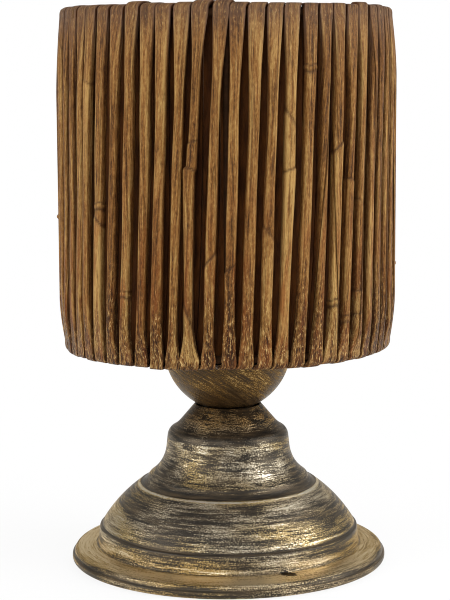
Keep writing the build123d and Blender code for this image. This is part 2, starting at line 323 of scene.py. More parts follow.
def by_height(tree, place, paint):
    """Paint multiplied by a brown tint high up, for painted shade and reflection under the bowl
    and the shade, and by a warm one low down.
    """
    height_up = put(tree, "ShaderNodeSeparateXYZ", {"Vector": place}).outputs["Z"]
    overhead_shade = remap(tree, height_up, OVERHEAD_SHADE_FROM, OVERHEAD_SHADE_TO)
    paint = tint(tree, overhead_shade, paint, OVERHEAD_SHADE, "MULTIPLY")
    warmed = remap(tree, height_up, WARMED_FROM, WARMED_TO)
    return tint(tree, warmed, paint, WARMED, "MULTIPLY")


print("a speck of grit is about", round(1.0 / GRIT_FACTORS[0] / MM, 1), "mm wide")

# %% Finish of the stand and the bowl
def brushed_gold(name, charcoal, gold, silver, pale, slant):
    """Charcoal under gold streaks. Where the gold's level passes a first height the gold starts,
    and a little higher it turns pale. Where it is thin it is silvery."""
    material, tree, shader = new_finish(name)
    place = object_place(tree)
    gilding = attribute(tree, "gilding").outputs["Fac"]
    mark = brush_marks(tree, place, slant)
    level = gold_level(tree, mark, gilding)
    gold_share = remap(tree, level, 1.31, 1.52)
    pale_share = remap(tree, level, 1.48, 1.67)

    ground = tint(tree, remap(tree, mark["strokes"], 0.40, 0.68), charcoal, WORN_CHARCOAL)
    thin = added(tree, (mark["thin"], 1.0), (gilding, -0.13))
    leafed = tint(tree, remap(tree, thin, 0.34, 0.54), gold, silver)
    paint = tint(tree, gold_share, ground, tint(tree, pale_share, leafed, pale))
    paint = by_height(tree, place, paint)
    paint = tint(tree, chip_share(tree, place, mark["grit"]), paint, charcoal)

    tree.links.new(paint, shader.inputs["Base Color"])
    tree.links.new(remap(tree, gold_share, 0.0, 1.0, 0.35, 0.95), shader.inputs["Metallic"])
    tree.links.new(remap(tree, mark["hairs"], 0.3, 0.7, 0.44, 0.28), shader.inputs["Roughness"])
    height = added(tree, (mark["hairs"], 0.5), (gold_share, 0.6), (mark["grit"], 0.8))
    tree.links.new(bump(tree, height, 0.14 * MM, 0.9), shader.inputs["Normal"])
    shader.inputs["Specular Tint"].default_value = METAL_TINT
    return material


STAND_SLANT = 0.6
BOWL_SLANT = 16.0
stand_finish = brushed_gold("brushed_gold", CHARCOAL, GOLD, SILVER, PALE_GOLD, STAND_SLANT)
bowl_finish = brushed_gold(
    "brown_gold", BOWL_BROWN, BOWL_GOLD, BOWL_SILVER, BOWL_PALE, BOWL_SLANT
)
print("metal finishes:", stand_finish.name, "and", bowl_finish.name)

# %% [markdown]
# ## The pedestal
# A spinner presses a turning disc of sheet over a wooden former, so the whole base is one line
# turned about the axis. The line is given stretch by stretch: where it ends, how far it stands
# proud of a straight run (hollow where negative), and how much gold the brush left on it. A curve
# with a Screw modifier could turn it, but the gilding has to follow the line. The sharp corners
# are eased by a short running average, as sheet never folds quite sharp, and the inside is the
# same line moved in by the thickness of the sheet.

# %% Outline of the pedestal, in millimetres from the foot's hem up to the neck
PEDESTAL_START = (56.1, 0.0)
PEDESTAL = [
    # radius, height, bulge, gilding where the stretch starts and ends
    (61.1, 0.0, 0.0, 0.2, 0.3),
    (62.2, 1.1, 0.32, 0.2, 0.4),
    (62.2, 2.4, 0.0, 0.0, 0.35),
    (61.2, 3.1, 0.0, 0.0, -0.3),
    (59.7, 4.9, 0.5, 0.2, 0.9),
    (52.5, 6.0, 0.0, 1.35, 1.25),
    (51.8, 6.7, 0.0, 0.2, 0.3),
    (51.2, 13.1, 0.0, 0.8, 0.35),
    (49.8, 13.6, 0.0, -0.4, -0.9),
    (50.2, 14.0, 0.0, -0.6, 0.5),
    (35.9, 29.5, 1.05, 0.5, 0.2),
    (35.2, 30.2, 0.0, 1.5, 1.7),
    (34.4, 30.2, 0.0, 0.1, -0.6),
    (31.3, 33.4, -0.3, -0.7, -0.05),
    (24.5, 44.0, -1.35, 0.34, 0.36),
    (24.0, 48.6, 0.0, 0.36, 0.7),
    (22.5, 51.9, 0.35, 0.1, -0.2),
    (18.9, 54.7, -0.25, -0.3, 0.15),
    (13.05, 61.5, 0.0, 0.4, 0.2),
]
print("the pedestal's line has", len(PEDESTAL), "stretches")

# %% From stretches to a smooth line
SHEET = 1.0
STRETCH_POINTS = 60
ROW_STEP = 0.3


def trace(start, stretches):
    """Evenly spaced radius, height and gilding along a line of straight and bowed stretches. A
    bowed stretch leaves its chord by four times the bulge times x times (1 less x)."""
    corner = np.array(start)
    share = np.linspace(0.0, 1.0, STRETCH_POINTS)[:, None]
    points = []
    for radius, height, bulge, first_gilding, last_gilding in stretches:
        run = np.array([radius, height]) - corner
        outward = np.array([run[1], -run[0]]) / np.hypot(*run)
        bowed = corner + run * share + outward * (4.0 * bulge * share * (1.0 - share))
        gilded = first_gilding + (last_gilding - first_gilding) * share
        points.append(np.hstack([bowed, gilded]))
        corner = np.array([radius, height])
    points = np.concatenate(points)
    length = np.append(0.0, np.cumsum(np.hypot(*np.diff(points[:, :2], axis=0).T)))
    even = np.linspace(0.0, length[-1], int(length[-1] / ROW_STEP) + 1)
    return np.stack([np.interp(even, length, column) for column in points.T], axis=-1)


def ease_corners(line, width):
    """Running average of width rows to either side, in which nearer rows count more. The line is
    carried on past each end as its own image turned about that end, so the ends stay put."""
    before = 2 * line[:1] - line[width:0:-1]
    after = 2 * line[-1:] - line[-2:-width - 2:-1]
    padded = np.concatenate([before, line, after])
    weights = np.hanning(2 * width + 3)[1:-1]
    weights /= weights.sum()
    return np.stack([np.convolve(column, weights, "valid") for column in padded.T], axis=-1)


def moved_in(line, distance):
    """The line moved to its inner side, square to itself."""
    along = np.gradient(line[:, :2], axis=0)
    along /= np.linalg.norm(along, axis=1, keepdims=True)
    inward = np.stack([-along[:, 1], along[:, 0]], axis=-1)
    return line[:, :2] + inward * distance


OUTSIDE_EASE = 2
INSIDE_EASE = 7
INSIDE_SKIP = 4
pedestal_line = trace(PEDESTAL_START, PEDESTAL)
pedestal_outer = ease_corners(pedestal_line, OUTSIDE_EASE)
pedestal_inner = moved_in(ease_corners(pedestal_line, INSIDE_EASE), SHEET)[::-INSIDE_SKIP]
pedestal_inner[:, 1] = np.clip(pedestal_inner[:, 1], SHEET, pedestal_outer[-1, 1])
print("pedestal rows:", len(pedestal_outer), "outside and", len(pedestal_inner), "inside")

# %% Turn a line about the axis
AROUND = 224
ANGLES = np.linspace(0.0, 2.0 * np.pi, AROUND, endpoint=False)[None, :]


def turned_grid(radius, height, waver):
    """Grid of a line turned about the axis. waver (rows, columns) is added to the radius."""
    reach = radius[:, None] + waver
    level = np.broadcast_to(height[:, None], reach.shape)
    return np.stack([reach * np.cos(ANGLES), reach * np.sin(ANGLES), level], axis=-1) * MM


def spun_waver(rows, size, seed):
    """Slight unevenness of hand-spun sheet: sines of 2, 3, 5 and 8 waves round the axis, each
    times a slow sine up the line and divided by its count of waves."""
    random = np.random.default_rng(seed)
    rise = np.linspace(0.0, 1.0, rows)[:, None]
    waver = np.zeros((rows, AROUND))
    for count in (2, 3, 5, 8):
        phase = random.uniform(0.0, 2.0 * np.pi, 2)
        wave_round = np.sin(count * ANGLES + phase[0] + 5.0 * rise)
        waver += wave_round * np.sin(9.0 * rise + phase[1]) / count
    return size * waver


print("columns round the axis:", AROUND)

# %% Turn the pedestal
def keep_values(piece, name, kind, field, values):
    """Stores one value per point, for the piece's material to read."""
    stored = piece.data.attributes.new(name, kind, "POINT")
    stored.data.foreach_set(field, values.astype(np.float32).ravel())


def stand_for(piece, node, body):
    """The piece takes the place of a CAD node and moves with that node's body."""
    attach(piece, body)
    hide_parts(node)


def spun_shell(name, outer, inner, waver_size, seed, material):
    """Closed shell: the outer line from the foot up, then the inner line back down."""
    rows = np.concatenate([outer[:, :2], inner])
    waver = spun_waver(len(rows), waver_size, seed)
    waver[len(outer):] = 0.0
    piece = make_piece(name, turned_grid(rows[:, 0], rows[:, 1], waver), True, material)
    line = np.append(0.0, np.cumsum(np.hypot(*np.diff(rows, axis=0).T)))
    gilding = np.append(outer[:, 2], np.zeros(len(inner)))
    keep_values(piece, "line", "FLOAT", "value", np.repeat(line, AROUND))
    keep_values(piece, "gilding", "FLOAT", "value", np.repeat(gilding, AROUND))
    return piece


PEDESTAL_WAVER = 0.05
PEDESTAL_SEED = 3
pedestal = spun_shell(
    "pedestal", pedestal_outer, pedestal_inner, PEDESTAL_WAVER, PEDESTAL_SEED, stand_finish
)
stand_for(pedestal, "pedestal_base", "stand")
print("pedestal faces:", len(pedestal.data.polygons))

# %% [markdown]
# ## The candle bowl
# The round ball under the shade is a spun bowl whose lower half shows. Half a ready-made sphere
# has the right shape, but its rows don't follow the spinner's line as the streaks do, so it is
# drawn as the pedestal was: a short flat round the bolt hole, a quarter circle up to the widest
# place, and a short upright rim that is rounded on top.

# %% Sizes of the bowl, in millimetres
bowl_low, bowl_high = (np.array(corner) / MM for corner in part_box("candle_bowl"))
BOWL_WALL = 1.0
BOWL_FLAT = 8.0
BOWL_HOLE = 3.2
bowl_radius = bowl_high[0]
bowl_depth = np.sqrt(bowl_radius**2 - BOWL_FLAT**2)
bowl_centre = bowl_low[2] + bowl_depth
inner_radius = bowl_radius - BOWL_WALL
print("bowl radius", round(bowl_radius, 2), "centre", round(bowl_centre, 2), "mm")

# %% Turn the bowl
FLAT_ROWS = 5
OUTER_ROWS = 90
RIM_ROWS = 13
INNER_ROWS = 40
RIM_TOP = RIM_ROWS // 2
# Heights on the bowl, each with the gilding there
BOWL_GILDING = [(bowl_low[2], 0.1), (66.0, 0.25), (72.0, 0.6), (bowl_high[2], 0.5)]
BOWL_WAVER = 0.04
BOWL_SEED = 5


def arc_points(radius, middle, angles):
    """Points of a circle: the middle plus the radius times the cosine and sine of each angle."""
    out = middle[0] + radius * np.cos(angles)
    up = middle[1] + radius * np.sin(angles)
    return np.stack([out, up], axis=-1)


flat_radii = np.linspace(BOWL_HOLE, BOWL_FLAT, FLAT_ROWS, endpoint=False)
flat_run = np.stack([flat_radii, np.full(FLAT_ROWS, bowl_low[2])], axis=-1)
outer_angles = np.linspace(-np.arctan2(bowl_depth, BOWL_FLAT), 0.0, OUTER_ROWS)
outer_arc = arc_points(bowl_radius, (0.0, bowl_centre), outer_angles)
rim_middle = (bowl_radius - BOWL_WALL / 2, bowl_high[2] - BOWL_WALL / 2)
rim = arc_points(BOWL_WALL / 2, rim_middle, np.linspace(0.0, np.pi, RIM_ROWS))
bowl_outer = np.concatenate([flat_run, outer_arc, rim[:RIM_TOP + 1]])
bowl_gilding = np.interp(bowl_outer[:, 1], *np.transpose(BOWL_GILDING))
bowl_outer = np.column_stack([bowl_outer, bowl_gilding])

inner_end = -np.arcsin((bowl_depth - BOWL_WALL) / inner_radius)
inner_arc = arc_points(inner_radius, (0.0, bowl_centre), np.linspace(0.0, inner_end, INNER_ROWS))
floor_hole = [[BOWL_HOLE, bowl_low[2] + BOWL_WALL]]
bowl_inner = np.concatenate([rim[RIM_TOP + 1:], inner_arc, floor_hole])
bowl = spun_shell("bowl", bowl_outer, bowl_inner, BOWL_WAVER, BOWL_SEED, bowl_finish)
stand_for(bowl, "candle_bowl", "stand")
print("bowl rows:", len(bowl_outer), "outside and", len(bowl_inner), "inside")

# %% [markdown]
# ## Rolled leaf
# Each strip is a dried leaf rolled into a cord: golden brown, varnished, with fibres along it,
# dark pits, and a seam where the leaf's edge lies on itself. It could be one texture on a tube,
# but then every turn would look alike. Here each point of the strip knows how far round and how
# far along the leaf it is, and carries a stain that also holds painted light: how light the turn
# is, with a painted highlight on the ridges of its back, how much painted shade or sheen it takes
# at the folds and on the inner legs, where it is marked, partly with painted shade on the flanks,
# and how crinkled. Noise in those leaf coordinates follows the strip round every fold.

# %% Colours of the cane
CANE_DARK = colour(0.031, 0.0090, 0.002)
CANE_MID = colour(0.193, 0.080, 0.017)
CANE_LIGHT = colour(0.405, 0.241, 0.076)
# Painted glints: a light colour in place of highlights on the varnish
CANE_GLINT = colour(0.60, 0.40, 0.16)
CANE_RED = colour(0.68, 0.45, 0.34)
# Painted sheen and shade at the folds: a greyer, darker leaf colour
CANE_FOLD_SHEEN_SHADE = colour(0.125, 0.068, 0.042)
# Painted shade: the inner legs' faces that show through the gaps, from dark to less dark
CANE_INNER_SHADE_DARK = colour(0.034, 0.0085, 0.0016)
CANE_INNER_SHADE_PALE = colour(0.090, 0.027, 0.0045)
VARNISH_TINT = colour(1.0, 0.74, 0.48)

# Red patches are weak above the first height and full below the second
BLUSH_FROM, BLUSH_TO = 160.0 * MM, 110.0 * MM
print("light leaf is", round(CANE_LIGHT[0] / CANE_DARK[0], 1), "times as bright as dark in red")

# %% Patterns in the leaf
FIBRES_ALONG = 0.070


def leaf_noise(tree, leaf, round_factor, along_factor, detail, roughness=0.6, distortion=0.0):
    """Noise in leaf coordinates, with so many features to a millimetre round and along it."""
    vector = stretch(tree, leaf, (round_factor, along_factor, 1.0))
    return noise(tree, vector, detail, roughness, distortion)


def leaf_patterns(tree, crinkle):
    """The leaf's patterns by name, from long streaks to fine grain. Wrinkles are flecks, above or
    below 0, times the crinkle. A pleat is a thin line where a slow noise crosses one half."""
    leaf = attribute(tree, "leaf").outputs["Vector"]
    flecks = leaf_noise(tree, leaf, 2.2, 0.42, 3.0, 0.7, 0.5)
    slow = leaf_noise(tree, leaf, 0.50, 0.011, 1.0)
    from_half = calc(tree, "ABSOLUTE", calc(tree, "SUBTRACT", slow, 0.5))
    return {
        "streaks": leaf_noise(tree, leaf, 0.75, 0.028, 3.0),
        "fibres": leaf_noise(tree, leaf, 1.6, FIBRES_ALONG, 3.0, 0.65),
        "clouds": leaf_noise(tree, leaf, 0.30, 0.060, 3.0),
        "mottle": leaf_noise(tree, leaf, 1.3, 0.30, 4.0, 0.7),
        "grain": leaf_noise(tree, leaf, 2.0, 0.70, 2.0),
        "pits": leaf_noise(tree, leaf, 3.0, 0.20, 1.0),
        "wrinkles": calc(tree, "MULTIPLY", calc(tree, "SUBTRACT", flecks, 0.5), crinkle),
        "pleats": remap(tree, from_half, 0.022, 0.0),
    }


print("a fibre is about", round(1.0 / FIBRES_ALONG), "mm long")

# %% Colour of the leaf
def sound_leaf(tree, pattern, tone, crinkle):
    """Dark to light by the sum of the patterns and the turn's tone, each times its weight."""
    level = added(
        tree,
        (pattern["streaks"], 0.60),
        (pattern["fibres"], 0.95),
        (pattern["clouds"], 0.30),
        (pattern["mottle"], 0.42),
        (pattern["grain"], 0.44),
        (tone, 0.25),
        (pattern["wrinkles"], 1.6),
        (crinkle, -0.09),
    )
    ramp = put(tree, "ShaderNodeValToRGB", {"Fac": remap(tree, level, 1.25, 1.85)})
    stops = ramp.color_ramp.elements
    stops[0].color = CANE_DARK
    stops[1].color = CANE_LIGHT
    stops.new(0.44).color = CANE_MID
    return ramp.outputs["Color"]


def red_share(tree, pattern, tone):
    """How red the leaf is: cloudy patches, more of them low down, and any turn of dark tone."""
    height_up = put(tree, "ShaderNodeSeparateXYZ", {"Vector": object_place(tree)}).outputs["Z"]
    blush = remap(tree, height_up, BLUSH_FROM, BLUSH_TO, 0.22, 1.0)
    patches = calc(tree, "MULTIPLY", blush, remap(tree, pattern["clouds"], 0.46, 0.62))
    return largest(tree, patches, remap(tree, tone, 0.45, 0.0, 0.0, 0.4))


def glint_share(tree, pattern, crinkle):
    """Painted glints: bright specks of colour in place of highlights on the varnish, on the tops
    of the grain where the leaf is crinkled, and on high wrinkles.
    """
    bright = calc(tree, "MULTIPLY", crinkle, 0.9)
    specks = calc(tree, "MULTIPLY", bright, remap(tree, pattern["grain"], 0.61, 0.71))
    return largest(tree, specks, remap(tree, pattern["wrinkles"], 0.07, 0.16, 0.0, 0.85))


def mark_share(tree, pattern, mark):
    """Dark marks: the strongest of pits, dents, pleats and what the mesh marks itself."""
    pits = remap(tree, pattern["pits"], 0.68, 0.75, 0.0, 0.7)
    dents = remap(tree, pattern["wrinkles"], -0.09, -0.20, 0.0, 0.4)
    return largest(tree, pits, dents, calc(tree, "MULTIPLY", pattern["pleats"], 0.6), mark)


print("stops of the leaf's colour ramp:", [CANE_DARK[:3], CANE_MID[:3], CANE_LIGHT[:3]])

# %% Finish of the cane
def cane_finish():
    """Golden leaf, reddened and marked in places, with painted glints, painted sheen and shade
    at the folds, and painted shade on the inner legs.
    """
    material, tree, shader = new_finish("cane_leaf")
    stain_and_shade = attribute(tree, "stain_and_shade").outputs
    parts = put(tree, "ShaderNodeSeparateColor", {"Color": stain_and_shade["Color"]}).outputs
    tone, inside, mark = parts["Red"], parts["Green"], parts["Blue"]
    crinkle = stain_and_shade["Alpha"]
    pattern = leaf_patterns(tree, crinkle)

    leaf = sound_leaf(tree, pattern, tone, crinkle)
    leaf = tint(tree, red_share(tree, pattern, tone), leaf, CANE_RED, "MULTIPLY")
    leaf = tint(tree, glint_share(tree, pattern, crinkle), leaf, CANE_GLINT)
    dark = mark_share(tree, pattern, mark)
    leaf = tint(tree, calc(tree, "MULTIPLY", dark, 0.85), leaf, CANE_DARK)
    # Up to one half of the inside value the leaf takes the fold colour, painted sheen and shade.
    # Above that it takes the inner colours, painted shade on the inner legs' faces seen through the
    # gaps.
    leaf = tint(tree, remap(tree, inside, 0.0, 0.5), leaf, CANE_FOLD_SHEEN_SHADE)
    inner = tint(tree, remap(tree, pattern["clouds"], 0.40, 0.66), CANE_INNER_SHADE_DARK, CANE_INNER_SHADE_PALE)
    leaf = tint(tree, remap(tree, inside, 0.45, 1.0), leaf, inner)
    tree.links.new(leaf, shader.inputs["Base Color"])

    dulness = added(tree, (pattern["streaks"], -0.45), (inside, 0.3), (crinkle, -0.22))
    tree.links.new(remap(tree, dulness, -0.35, 0.1, 0.42, 0.95), shader.inputs["Roughness"])
    shader.inputs["Specular IOR Level"].default_value = 0.28
    shader.inputs["Specular Tint"].default_value = VARNISH_TINT
    relief = added(tree, (pattern["streaks"], 0.8), (pattern["fibres"], 0.5))
    relief = added(tree, (relief, 1.0), (pattern["mottle"], 0.35), (pattern["wrinkles"], 1.2))
    relief = added(tree, (relief, 1.0), (dark, -0.3))
    tree.links.new(bump(tree, relief, 0.9 * MM, 1.0), shader.inputs["Normal"])
    return material


cane = cane_finish()
print("cane finish:", cane.name, "with", len(cane.node_tree.nodes), "nodes")

# %% [markdown]
# ## How the shade is wound
# Sixty turns go round the drum, in fifteen strips of four. A turn starts flat under the bottom
# ring, rises outside with a lean to the right while the leaf rolls itself up, flattens over the
# top ring and comes down flat behind the gap to the next turn. One turn could be copied round
# with an Array modifier, and the even winding of the CAD model is like that. No hand winds so
# evenly, so every turn gets its own sway, bow, width and tone here, from seeded random numbers,
# and a few joints and knots are placed one by one where they catch the eye.

# %% Sizes of the winding, in millimetres and degrees
TURNS = 60
TURNS_PER_STRIP = 4
SECTOR = 120.0
TURNS_PER_SECTOR = 20
FIRST_ARM = 60.0
PITCH = 360.0 / TURNS
LEAN = 0.65 * PITCH
FOLD_STEP = 0.5 * PITCH
INNER_PITCH = 5.8
ARM_GAP = SECTOR - TURNS_PER_SECTOR * INNER_PITCH
RING_WIRE = 3.0
WRAP_RADIUS = 1.735
STRIP_JOINT = 0.5
FLAT = 1.6
INSIDE_WIDTH = 5.85
OUTSIDE_WIDTH = 6.0
ROLLED_WIDTH = 3.85
ROLLED_DEPTH = 3.4
ring_low, ring_high = (np.array(corner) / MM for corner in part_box("shade_bottom_ring"))
RING_RADIUS = ring_high[0] - RING_WIRE / 2
BOTTOM = (ring_low[2] + ring_high[2]) / 2
TOP = (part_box("shade_top_ring")[0][2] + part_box("shade_top_ring")[1][2]) / 2 / MM
HEIGHT = TOP - BOTTOM
print("rings at", round(BOTTOM, 2), "and", round(TOP, 2), "radius", round(RING_RADIUS, 2))

# %% Where a turn starts
def inner_foot(turn):
    """Angle where a turn starts inside: equal steps, with a wider one across each arm."""
    sector, place = np.divmod(turn, TURNS_PER_SECTOR)
    return FIRST_ARM + sector * SECTOR + (ARM_GAP + INNER_PITCH) / 2 + place * INNER_PITCH


def outer_foot(turn):
    """Angle where a turn starts outside: equal steps all the way round."""
    return FIRST_ARM + (turn + 1.0) * PITCH


print("the first turn starts at", round(inner_foot(0), 2), "inside and", outer_foot(0), "outside")

# %% What differs from turn to turn
WINDING_SEED = 11
chance = np.random.default_rng(WINDING_SEED)
sway_low = chance.uniform(-0.45, 0.45, TURNS)
sway_high = chance.uniform(-0.45, 0.45, TURNS)
bow = np.clip(chance.normal(0.0, 0.55, TURNS), -1.1, 1.1)
wobble_phase = chance.uniform(0.0, 2.0 * np.pi, TURNS)
stand_off = chance.uniform(-0.35, 0.15, TURNS)
width_factor = chance.uniform(0.90, 1.12, TURNS)
end_factor = chance.uniform(0.93, 1.03, TURNS)
flare_low = chance.uniform(9.0, 24.0, TURNS)
flare_high = chance.uniform(16.0, 38.0, TURNS)
top_lift = 0.5 * chance.uniform(0.0, 1.0, TURNS) ** 2
foot_drop = 0.7 * chance.uniform(0.0, 1.0, TURNS) ** 2
turn_tone = chance.uniform(0.22, 0.95, TURNS)
twist = chance.normal(0.0, 0.022, TURNS)
knot_height = chance.uniform(5.0, 118.0, TURNS)
knot_size = 0.08 * (chance.uniform(0.0, 1.0, TURNS) < 0.02)

# Up to three joints on a turn, each with its height, step, slant and slip sideways
JOINTS = 3
joint_height = chance.uniform(8.0, 115.0, (TURNS, JOINTS))
joint_step = chance.uniform(0.05, 0.13, (TURNS, JOINTS))
joint_step *= chance.uniform(0.0, 1.0, (TURNS, JOINTS)) < 0.12
joint_slant = chance.uniform(-1.6, 1.6, (TURNS, JOINTS))
joint_slip = joint_step * chance.uniform(-3.0, 3.0, (TURNS, JOINTS))
foot_factor = chance.uniform(0.80, 0.97, TURNS)
# How dark each turn's flanks are: painted shade in the crevices between strips, and stain
flank_stain_and_shade = chance.uniform(0.40, 0.90, TURNS)
crinkled = chance.uniform(12.0, 55.0, TURNS)
joint_tone = chance.uniform(-0.25, 0.6, (TURNS, JOINTS))
print("joints by chance:", int((joint_step > 0).sum()), "knots:", int((knot_size > 0).sum()))

# %% What is placed one by one
HIGH_KNOT = 53
KNOTS_PLACED = [
    # turn, height above the bottom ring, size
    (HIGH_KNOT, 104.0, 0.11),
    (41, 54.5, 0.11),
    (55, 19.5, 0.11),
    (56, 13.0, 0.11),
    (34, 47.2, 0.5),
    (4, 28.2, 0.5),
]
for turn, height, size in KNOTS_PLACED:
    knot_height[turn] = height
    knot_size[turn] = size
turn_tone[HIGH_KNOT] = 0.6

# The turn left of the middle has three joints, from the top, and a broad foot, and the next turn
# bows away from it
JOINTED = 47
joint_height[JOINTED] = 78.0, 68.5, 15.5
joint_step[JOINTED] = 0.10, 0.16, 0.12
joint_slant[JOINTED] = 0.3, -0.4, -2.9
joint_slip[JOINTED] = -0.2, -0.9, 0.0
joint_tone[JOINTED] = -0.1, 0.2, 1.0
foot_factor[JOINTED] = 1.12
bow[JOINTED + 1] -= 0.5

# Turns that stand up at the top edge, and feet that hang lower on the left
STANDING_TURNS = [43, 47, 48, 57]
STANDING_LIFT = 0.9
LEFT_DROP = 0.9
top_lift[STANDING_TURNS] = STANDING_LIFT
foot_drop += LEFT_DROP * np.clip(-np.sin(np.radians(outer_foot(np.arange(TURNS)))), 0.0, 1.0)
print("joints in all:", int((joint_step > 0).sum()), "knots:", int((knot_size > 0).sum()))

# %% [markdown]
# ## The path of a strip
# Every station of a strip has an angle round the lamp, a facing (which way its back looks: 0
# outwards, 90 up, 180 inwards, 270 down), a height, a width and a depth. A bevelled curve could
# follow the path too, but its section can't go from rolled to flat. So the stations are worked out
# as arrays of turns by stations, for two folds and two legs, and then laid end to end.

# %% The outer leg of a turn
ROLL_POWER = 1.7


def smooth_step(share):
    """Eases from 0 to 1 with no corner at either end: 3x squared less 2x cubed, clipped."""
    share = np.clip(share, 0.0, 1.0)
    return share * share * (3.0 - 2.0 * share)


def mixed(first, second, share):
    """Straight blend: the first value plus a share of the way to the second."""
    return first + (second - first) * share


def rolled_share(rise, turn):
    """How far the leaf is rolled up, 0 at both folds. Over each end's own length it goes as 1 less
    (1 less x) to a power, and the two ends are multiplied."""
    from_foot = 1.0 - (1.0 - np.clip(rise / flare_low[turn], 0.0, 1.0)) ** ROLL_POWER
    to_head = np.clip((HEIGHT - rise) / flare_high[turn], 0.0, 1.0)
    from_head = 1.0 - (1.0 - to_head) ** ROLL_POWER
    return from_foot * from_head


def leg_sway(leg, turn):
    """Degrees off the straight line: a bow and two small waves, times half a sine wave, which is
    0 at foot and head."""
    phase = wobble_phase[turn]
    wobble = 0.10 * np.sin(7.0 * leg + phase) + 0.06 * np.sin(17.0 * leg + phase)
    return (bow[turn] + wobble) * np.sin(np.pi * leg)


def rolled_width(leg, turn):
    """Width where the leaf is rolled: the turn's own, swelling and thinning in a slow wave."""
    swelling = 1.0 + 0.06 * np.sin(9.0 * leg + 2.0 * wobble_phase[turn])
    return ROLLED_WIDTH * (width_factor[turn] * swelling)


half_way = np.array(HEIGHT / 2)
print("rolled half-way up, least of all turns:", rolled_share(half_way, np.arange(TURNS)).min())

# %% Looks along the outer leg
HEAD_CRINKLE = 114.0
HEAD_CRINKLE_RISE = 9.0
# Painted shade at the foot fold and painted sheen at the head fold, each with its value at the fold
# and the length over which it fades
FOOT_FOLD_SHADE = 0.10
FOOT_FADE = 3.0
HEAD_FOLD_SHEEN = 0.98
HEAD_FADE = 7.0


def leg_crinkle(rise, turn):
    """How crinkled the leaf is: most at the foot, up to the turn's own height, then at the head."""
    low = smooth_step(1.2 * (1.0 - rise / crinkled[turn]))
    high = smooth_step((rise - HEAD_CRINKLE) / HEAD_CRINKLE_RISE)
    return 0.12 + 0.80 * low + 0.4 * high


def leg_fold_sheen_shade(rise):
    """How much painted sheen and shade the leaf takes near the folds: e to the minus distance over
    a fade length, from the foot and from the head, each times its value at the fold."""
    from_foot = FOOT_FOLD_SHADE * np.exp(-rise / FOOT_FADE)
    from_head = HEAD_FOLD_SHEEN * np.exp(-(HEIGHT - rise) / HEAD_FADE)
    return from_foot + from_head


def leg_tone(leg, turn):
    """How light the leaf is: the turn's own tone and a slow wave on the way up."""
    return turn_tone[turn] + 0.25 * np.sin(5.0 * leg + wobble_phase[turn])


print("folded in, half-way up:", leg_fold_sheen_shade(half_way).round(4))

# %% Where a strip runs
FOLD_ROWS = 16
LEG_ROWS = 190
BACK_ROWS = 30
# Shares of the way along a fold, the outer leg and the inner leg
FOLD = np.linspace(0.0, 1.0, FOLD_ROWS, endpoint=False)[None, :]
LEG = np.linspace(0.0, 1.0, LEG_ROWS, endpoint=False)[None, :]
BACK = np.linspace(0.0, 1.0, BACK_ROWS)[None, :]
RISE = LEG * HEIGHT
# Stands for the rise of a station that isn't on the outer leg, far from any knot or joint
NOT_OUTSIDE = 1000.0


def route(turn):
    """Where turns run, each value for the bottom fold, the outer leg, the top fold and the inner
    leg. Angles ease over a fold, go straight up the outer leg with its sway, and step across to
    the next turn with the cube of the way down. The facing turns half round over each fold."""
    foot = outer_foot(turn) + sway_low[turn]
    head = outer_foot(turn) + LEAN + sway_high[turn]
    over = head + FOLD_STEP - sway_high[turn]
    return {
        "turn": (turn, turn, turn, turn),
        "rise": (NOT_OUTSIDE, RISE, NOT_OUTSIDE, NOT_OUTSIDE),
        "angle": (
            mixed(inner_foot(turn), foot, smooth_step(FOLD)),
            mixed(foot, head, LEG) + leg_sway(LEG, turn),
            mixed(head, over, smooth_step(FOLD)),
            mixed(over, inner_foot(turn + 1), BACK**3),
        ),
        "facing": (180.0 + 180.0 * FOLD, 360.0, 360.0 + 180.0 * FOLD, 540.0),
        "height": (
            BOTTOM - foot_drop[turn] * np.sin(np.pi * FOLD),
            BOTTOM + RISE,
            TOP + top_lift[turn] * np.sin(np.pi * FOLD),
            TOP - BACK * (HEIGHT - STRIP_JOINT),
        ),
    }


print("rows on folds and legs:", FOLD_ROWS, LEG_ROWS, FOLD_ROWS, BACK_ROWS)

# %% What a strip is like on its way
def build(turn):
    """Width, depth and looks of turns, each for the bottom fold, the outer leg, the top fold and
    the inner leg. Over a fold, widths go with half of 1 plus a cosine. On the outer leg they are
    mixed from pressed to rolled."""
    rolled = rolled_share(RISE, turn)
    foot_width = OUTSIDE_WIDTH * foot_factor[turn]
    head_width = OUTSIDE_WIDTH * end_factor[turn]
    pressed_width = mixed(foot_width, head_width, smooth_step(LEG))
    fold_left = (1.0 + np.cos(np.pi * FOLD)) / 2
    tone = turn_tone[turn]
    return {
        "width": (
            mixed(foot_width, INSIDE_WIDTH, fold_left),
            mixed(pressed_width, rolled_width(LEG, turn), rolled),
            mixed(INSIDE_WIDTH, head_width, fold_left),
            INSIDE_WIDTH,
        ),
        "depth": (FLAT, mixed(FLAT, ROLLED_DEPTH, rolled), FLAT, FLAT),
        "stand_off": (0.0, stand_off[turn] * np.sin(np.pi * LEG), 0.0, 0.0),
        "tone": (tone, leg_tone(LEG, turn), tone, tone),
        # How much painted shade or sheen: the fold colour near the folds, the inner shade on the
        # inner leg
        "inside": (
            mixed(1.0, FOOT_FOLD_SHADE, smooth_step(FOLD * 1.3)),
            leg_fold_sheen_shade(RISE),
            mixed(HEAD_FOLD_SHEEN, 1.0, smooth_step(FOLD)),
            1.0,
        ),
        "crinkle": (1.0, leg_crinkle(RISE, turn), 0.7, 0.4),
    }


def laid(values, turns):
    """The values of two folds and two legs, turn after turn, as one column."""
    rows = (FOLD_ROWS, LEG_ROWS, FOLD_ROWS, BACK_ROWS)
    whole = [np.broadcast_to(value, (turns, count)) for value, count in zip(values, rows)]
    return np.concatenate(whole, axis=1).reshape(-1, 1)


